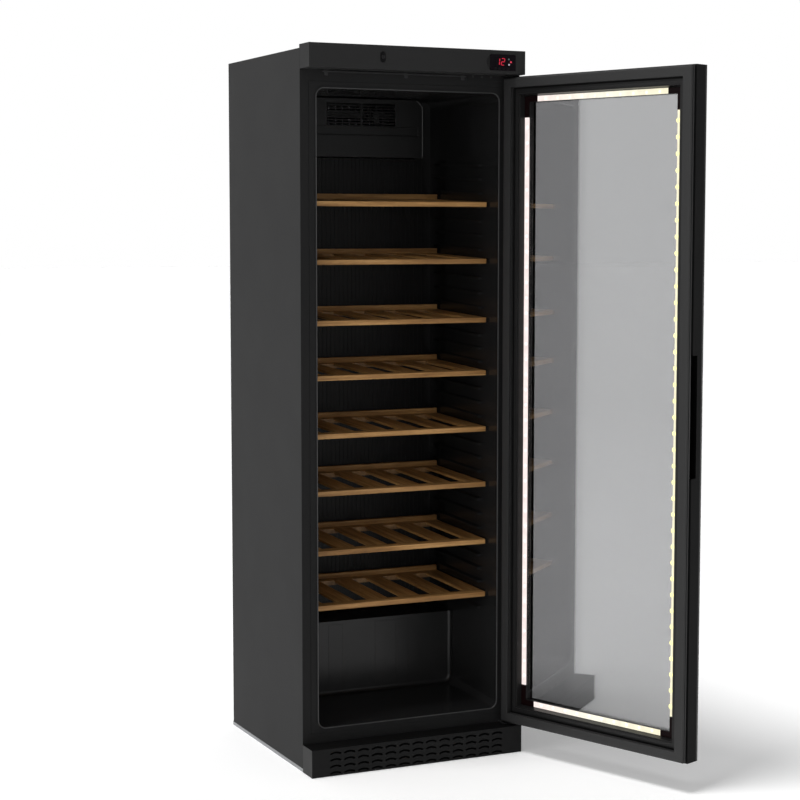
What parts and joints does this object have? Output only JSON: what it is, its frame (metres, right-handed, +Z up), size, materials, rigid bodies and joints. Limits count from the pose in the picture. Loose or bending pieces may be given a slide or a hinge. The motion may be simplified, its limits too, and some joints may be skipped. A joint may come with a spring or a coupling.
{
  "type": "wine cooler",
  "caption": "Tall free-standing wine cooler with an open glass door, tilted wooden slatted shelves, a lit door frame, a top control fascia and a louvred plinth.",
  "frame": {"origin": "centre of the cabinet's footprint at floor level, halfway between the fascia's front and the back panel", "axes": "+Z up, +Y toward the back, +X toward the hinge side; the door stands open beyond -Y"},
  "size_m": [0.8256, 1.0978, 1.84],
  "materials": {
    "cabinet_paint": "fine-textured dark grey powder coat",
    "front_paint": "satin black paint",
    "zinc_sheet": "dull galvanised sheet",
    "liner_plastic": "glossy black moulding",
    "foam": "rigid cream foam",
    "finned_aluminium": "bare aluminium",
    "motor_plastic": "black moulded plastic",
    "panel_plastic": "glossy black controller face",
    "circuit_board": "green circuit board",
    "lock_metal": "dark nickel",
    "rail_metal": "dull steel",
    "compressor_paint": "black gloss enamel",
    "soft_rubber": "black rubber",
    "copper_tube": "dull copper",
    "socket_plastic": "black nylon",
    "door_frame": "satin black extrusion",
    "door_trim": "black moulding",
    "seal_rubber": "dark grey magnetic seal",
    "outer_pane": "tinted pane with a black printed border",
    "inner_pane": "clear coated pane",
    "led_white": "milky white diffuser, lit",
    "led_brown": "dark brown moulding",
    "oak": "oiled hardwood"
  },
  "bodies": {
    "cabinet": {"side_panel_left": "cabinet_paint", "side_panel_right": "cabinet_paint", "top_panel": "cabinet_paint", "front_frame": "front_paint", "hinge_bracket_top": "front_paint", "hinge_bracket_bottom": "front_paint", "fascia": "front_paint", "plinth_grille": "front_paint", "back_panel": "zinc_sheet", "rear_cover": "zinc_sheet", "base_tray": "zinc_sheet", "inner_liner": "liner_plastic", "duct_panel": "liner_plastic", "evaporator_cover": "liner_plastic", "insulation_foam": "foam", "evaporator_coil": "finned_aluminium", "condenser": "finned_aluminium", "fan_motor": "motor_plastic", "evaporation_tray": "motor_plastic", "control_panel": "panel_plastic", "control_board": "circuit_board", "lock_escutcheon": "lock_metal", "mounting_rail": "rail_metal", "hinge_pins": "rail_metal", "cabinet_screws": "rail_metal", "compressor": "compressor_paint", "compressor_mounts": "soft_rubber", "refrigerant_circuit": "copper_tube", "mains_inlet": "socket_plastic"},
    "door": {"door_rail_hinge": "door_frame", "door_rail_free": "door_frame", "door_rail_top": "door_frame", "door_rail_bottom": "door_frame", "inner_trim": "door_trim", "door_gasket": "seal_rubber", "outer_glass": "outer_pane", "inner_glass": "inner_pane", "glass_spacer": "motor_plastic", "led_strips": "led_white", "led_corners": "led_brown", "handle_cup": "door_trim", "hinge_bushes": "socket_plastic"},
    "shelf_1": {"shelf_1": "oak"},
    "shelf_2": {"shelf_2": "oak"},
    "shelf_3": {"shelf_3": "oak"},
    "shelf_4": {"shelf_4": "oak"},
    "shelf_5": {"shelf_5": "oak"},
    "shelf_6": {"shelf_6": "oak"},
    "shelf_7": {"shelf_7": "oak"},
    "shelf_8": {"shelf_8": "oak"},
    "fan_blades": {"fan_blades": "motor_plastic"},
    "lock_barrel": {"lock_barrel": "lock_metal"},
    "button_power": {"button_power": "panel_plastic"},
    "button_light": {"button_light": "panel_plastic"},
    "button_up": {"button_up": "panel_plastic"},
    "button_down": {"button_down": "panel_plastic"},
    "levelling_foot_left": {"levelling_foot_left": "socket_plastic"},
    "levelling_foot_right": {"levelling_foot_right": "socket_plastic"},
    "roller_left": {"roller_left": "rail_metal"},
    "roller_right": {"roller_right": "rail_metal"}
  },
  "joints": [
    {"name": "door_hinge", "type": "hinge", "parent": "cabinet", "child": "door", "pos_m": [0.283, -0.2535, 0.926], "axis": [0, 0, 1], "range_deg": [-111, 0]},
    {"name": "shelf_1_slide", "type": "slide", "parent": "cabinet", "child": "shelf_1", "axis": [0, -0.9993, -0.0384], "range_m": [0, 0.18]},
    {"name": "shelf_2_slide", "type": "slide", "parent": "cabinet", "child": "shelf_2", "axis": [0, -0.9993, -0.0384], "range_m": [0, 0.18]},
    {"name": "shelf_3_slide", "type": "slide", "parent": "cabinet", "child": "shelf_3", "axis": [0, -0.9993, -0.0384], "range_m": [0, 0.18]},
    {"name": "shelf_4_slide", "type": "slide", "parent": "cabinet", "child": "shelf_4", "axis": [0, -0.9993, -0.0384], "range_m": [0, 0.18]},
    {"name": "shelf_5_slide", "type": "slide", "parent": "cabinet", "child": "shelf_5", "axis": [0, -0.9993, -0.0384], "range_m": [0, 0.18]},
    {"name": "shelf_6_slide", "type": "slide", "parent": "cabinet", "child": "shelf_6", "axis": [0, -0.9993, -0.0384], "range_m": [0, 0.18]},
    {"name": "shelf_7_slide", "type": "slide", "parent": "cabinet", "child": "shelf_7", "axis": [0, -0.9993, -0.0384], "range_m": [0, 0.18]},
    {"name": "shelf_8_slide", "type": "slide", "parent": "cabinet", "child": "shelf_8", "axis": [0, -0.9993, -0.0384], "range_m": [0, 0.18]},
    {"name": "fan_spin", "type": "hinge", "parent": "cabinet", "child": "fan_blades", "pos_m": [0.046, 0.091, 1.691], "axis": [0, 1, 0], "continuous": true},
    {"name": "lock_turn", "type": "hinge", "parent": "cabinet", "child": "lock_barrel", "pos_m": [-0.102, -0.28, 1.8105], "axis": [0, 1, 0], "range_deg": [0, 90]},
    {"name": "button_power_press", "type": "slide", "parent": "cabinet", "child": "button_power", "axis": [0, 1, 0], "range_m": [0, 0.0008], "stiffness_N_per_m": 400},
    {"name": "button_light_press", "type": "slide", "parent": "cabinet", "child": "button_light", "axis": [0, 1, 0], "range_m": [0, 0.0008], "stiffness_N_per_m": 400},
    {"name": "button_up_press", "type": "slide", "parent": "cabinet", "child": "button_up", "axis": [0, 1, 0], "range_m": [0, 0.0008], "stiffness_N_per_m": 400},
    {"name": "button_down_press", "type": "slide", "parent": "cabinet", "child": "button_down", "axis": [0, 1, 0], "range_m": [0, 0.0008], "stiffness_N_per_m": 400},
    {"name": "levelling_foot_left_turn", "type": "hinge", "parent": "cabinet", "child": "levelling_foot_left", "pos_m": [-0.24, -0.165, 0.01], "axis": [0, 0, 1], "continuous": true},
    {"name": "roller_left_spin", "type": "hinge", "parent": "cabinet", "child": "roller_left", "pos_m": [-0.24, 0.245, 0.012], "axis": [1, 0, 0], "continuous": true},
    {"name": "levelling_foot_right_turn", "type": "hinge", "parent": "cabinet", "child": "levelling_foot_right", "pos_m": [0.24, -0.165, 0.01], "axis": [0, 0, 1], "continuous": true},
    {"name": "roller_right_spin", "type": "hinge", "parent": "cabinet", "child": "roller_right", "pos_m": [0.24, 0.245, 0.012], "axis": [1, 0, 0], "continuous": true}
  ]
}
